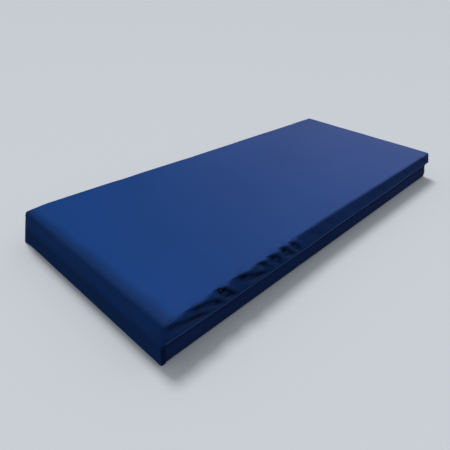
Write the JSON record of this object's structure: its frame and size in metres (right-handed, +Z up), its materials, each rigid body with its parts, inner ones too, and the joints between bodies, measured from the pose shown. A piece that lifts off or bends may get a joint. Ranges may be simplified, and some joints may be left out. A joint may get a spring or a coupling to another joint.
{
  "type": "pressure relief mattress",
  "caption": "Flat rectangular foam mattress for a hospital bed, in a blue coated cover with a zip under a storm flap on three sides.",
  "frame": {"origin": "middle of the underside, on the surface that the mattress lies on", "axes": "+X from the head end, which has no zip, to the foot end; +Y to the long side where the zip slider is parked; +Z up"},
  "size_m": [2, 0.86, 0.15],
  "materials": {
    "top_fabric": "satin",
    "base_fabric": "satin",
    "zip_tape": "matte",
    "zip_coil": "satin",
    "zip_metal": "satin",
    "base_foam": "matte",
    "rail_foam": "matte",
    "torso_foam": "matte",
    "heel_foam": "matte",
    "label": "matte"
  },
  "bodies": {
    "mattress": {"base_cover": "base_fabric", "top_cover_near": "top_fabric", "zip_tape_lower": "zip_tape", "zip_coil_lower": "zip_coil", "zip_tape_upper_front_near": "zip_tape", "zip_tape_upper_back_near": "zip_tape", "zip_coil_upper_front_near": "zip_coil", "zip_coil_upper_back_near": "zip_coil", "zip_top_stops": "zip_metal", "zip_bottom_stop": "zip_metal", "foam_base": "base_foam", "foam_rail_front": "rail_foam", "foam_rail_back": "rail_foam", "foam_torso": "torso_foam", "foam_heel": "heel_foam", "care_label": "label"},
    "cover_far": {"top_cover_far": "top_fabric", "flap_front_fold": "top_fabric", "flap_back_fold": "top_fabric", "flap_front_corner": "top_fabric", "flap_back_corner": "top_fabric", "zip_tape_upper_far": "zip_tape", "zip_coil_upper_far": "zip_coil"},
    "flap_front_near": {"flap_front_near": "top_fabric"},
    "flap_front_far": {"flap_front_far": "top_fabric"},
    "flap_back_near": {"flap_back_near": "top_fabric"},
    "flap_back_far": {"flap_back_far": "top_fabric"},
    "flap_end": {"flap_end": "top_fabric"},
    "zip_slider": {"zip_slider": "zip_metal"},
    "zip_pull_tab": {"zip_pull_tab": "zip_metal"}
  },
  "joints": [
    {"name": "cover_fold", "type": "hinge", "parent": "mattress", "child": "cover_far", "pos_m": [0.1, 0, 0.1505], "axis": [0, -1, 0], "range_deg": [0, 170]},
    {"name": "flap_front_lift", "type": "hinge", "parent": "mattress", "child": "flap_front_near", "pos_m": [0, -0.42925, 0.12], "axis": [-1, 0, 0], "range_deg": [0, 110]},
    {"name": "flap_front_far_lift", "type": "hinge", "parent": "cover_far", "child": "flap_front_far", "pos_m": [0.5, -0.42925, 0.12], "axis": [-1, 0, 0], "range_deg": [0, 110]},
    {"name": "flap_back_lift", "type": "hinge", "parent": "mattress", "child": "flap_back_near", "pos_m": [0, 0.42925, 0.12], "axis": [1, 0, 0], "range_deg": [0, 110]},
    {"name": "flap_back_far_lift", "type": "hinge", "parent": "cover_far", "child": "flap_back_far", "pos_m": [0.5, 0.42925, 0.12], "axis": [1, 0, 0], "range_deg": [0, 110]},
    {"name": "flap_end_lift", "type": "hinge", "parent": "cover_far", "child": "flap_end", "pos_m": [0.99925, 0, 0.12], "axis": [0, -1, 0], "range_deg": [0, 110]},
    {"name": "zip_slide", "type": "slide", "parent": "mattress", "child": "zip_slider", "axis": [1, 0, 0], "range_m": [0, 1.8]},
    {"name": "pull_tab_swing", "type": "hinge", "parent": "zip_slider", "child": "zip_pull_tab", "pos_m": [-0.93, 0.4246, 0.096], "axis": [0, 0, -1], "range_deg": [0, 180]}
  ],
  "couplings": [
    {"joint": "flap_front_far_lift", "follows": "flap_front_lift", "ratio": 1},
    {"joint": "flap_back_far_lift", "follows": "flap_back_lift", "ratio": 1}
  ]
}
